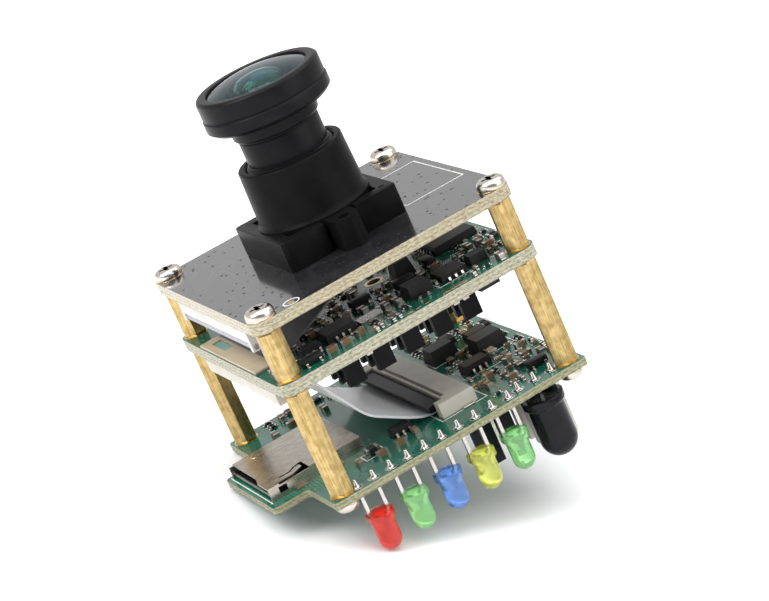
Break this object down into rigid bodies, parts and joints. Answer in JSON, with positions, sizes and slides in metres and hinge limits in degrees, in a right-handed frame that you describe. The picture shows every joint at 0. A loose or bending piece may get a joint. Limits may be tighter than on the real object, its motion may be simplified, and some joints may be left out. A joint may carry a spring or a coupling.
{
  "type": "stacked board camera module",
  "caption": "Compact camera module: stacked square circuit boards on hexagonal spacers, wide-angle screw-in lens, card slot, ribbon cables, finned heatsink and indicator lamps",
  "frame": {"origin": "on the optical axis, at the top face of the sensor board", "axes": "+Z along the optical axis, out of the lens; +X along the front edge with the indicator lamps; +Y towards the rear edge"},
  "size_m": [0.0431, 0.0389, 0.0595],
  "materials": {
    "black_board": "glossy",
    "green_board": "glossy",
    "standoff_brass": "satin",
    "nickel_steel": "satin",
    "black_moulding": "satin",
    "black_anodised": "satin",
    "coated_glass": "polished",
    "chip_black": "matte",
    "white_moulding": "satin",
    "grey_moulding": "satin",
    "cream_moulding": "satin",
    "dark_moulding": "satin",
    "grey_flex": "satin",
    "amber_film": "satin",
    "white_ribbon": "satin",
    "grey_pad": "matte",
    "tin": "polished",
    "gold": "polished",
    "stainless": "brushed",
    "brown_ceramic": "matte",
    "red_resin": "polished",
    "green_resin": "polished",
    "blue_resin": "polished",
    "yellow_resin": "polished"
  },
  "bodies": {
    "frame": {"blue_lamp": "blue_resin", "bottom_screws": "nickel_steel", "cable_socket": "cream_moulding", "cable_socket_pins": "tin", "card_slot_base": "dark_moulding", "card_slot_contacts": "gold", "card_slot_shell": "stainless", "flex_stiffener": "amber_film", "green_lamps": "green_resin", "heatsink": "black_anodised", "holder_screws": "nickel_steel", "image_sensor": "chip_black", "io_board": "green_board", "io_capacitor_bodies": "brown_ceramic", "io_capacitor_ends": "tin", "io_chip_leads": "tin", "io_chips": "chip_black", "io_inductors": "chip_black", "io_ribbon_connector": "cream_moulding", "ir_cut_filter": "coated_glass", "ir_receiver": "chip_black", "lamp_leads": "tin", "lens_holder": "black_moulding", "lower_standoffs": "standoff_brass", "main_board": "green_board", "main_capacitor_bodies": "brown_ceramic", "main_capacitor_ends": "tin", "main_chip_leads": "tin", "main_chips": "chip_black", "main_crystal": "tin", "main_inductors": "chip_black", "main_ribbon_connector": "cream_moulding", "power_socket": "dark_moulding", "power_socket_pins": "tin", "receiver_leads": "tin", "red_lamp": "red_resin", "ribbon_cable": "white_ribbon", "sensor_board": "black_board", "sensor_cover_glass": "coated_glass", "sensor_flex": "grey_flex", "sensor_flex_connector": "white_moulding", "solder_joints": "tin", "thermal_pad": "grey_pad", "top_screws": "nickel_steel", "underside_chips": "chip_black", "upper_standoffs": "standoff_brass", "yellow_lamp": "yellow_resin"},
    "lens": {"lens_barrel": "black_anodised", "lens_bezel": "black_anodised", "front_glass": "coated_glass", "second_lens": "coated_glass", "third_lens": "coated_glass", "rear_lens": "coated_glass", "front_spacer": "black_moulding", "middle_spacer": "black_moulding", "aperture_ring": "black_moulding"},
    "sensor_lock": {"sensor_connector_lock": "grey_moulding"},
    "io_lock": {"io_connector_lock": "dark_moulding"}
  },
  "joints": [
    {"name": "lens_focus", "type": "hinge", "parent": "frame", "child": "lens", "pos_m": [0, 0, 0.008], "axis": [0, 0, 1], "range_deg": [-180, 180]},
    {"name": "sensor_lock_flip", "type": "hinge", "parent": "frame", "child": "sensor_lock", "pos_m": [-0.01785, 0, -0.00443], "axis": [0, 1, 0], "range_deg": [0, 90]},
    {"name": "io_lock_flip", "type": "hinge", "parent": "frame", "child": "io_lock", "pos_m": [0.001, 0, -0.02395], "axis": [0, 1, 0], "range_deg": [0, 90]}
  ]
}
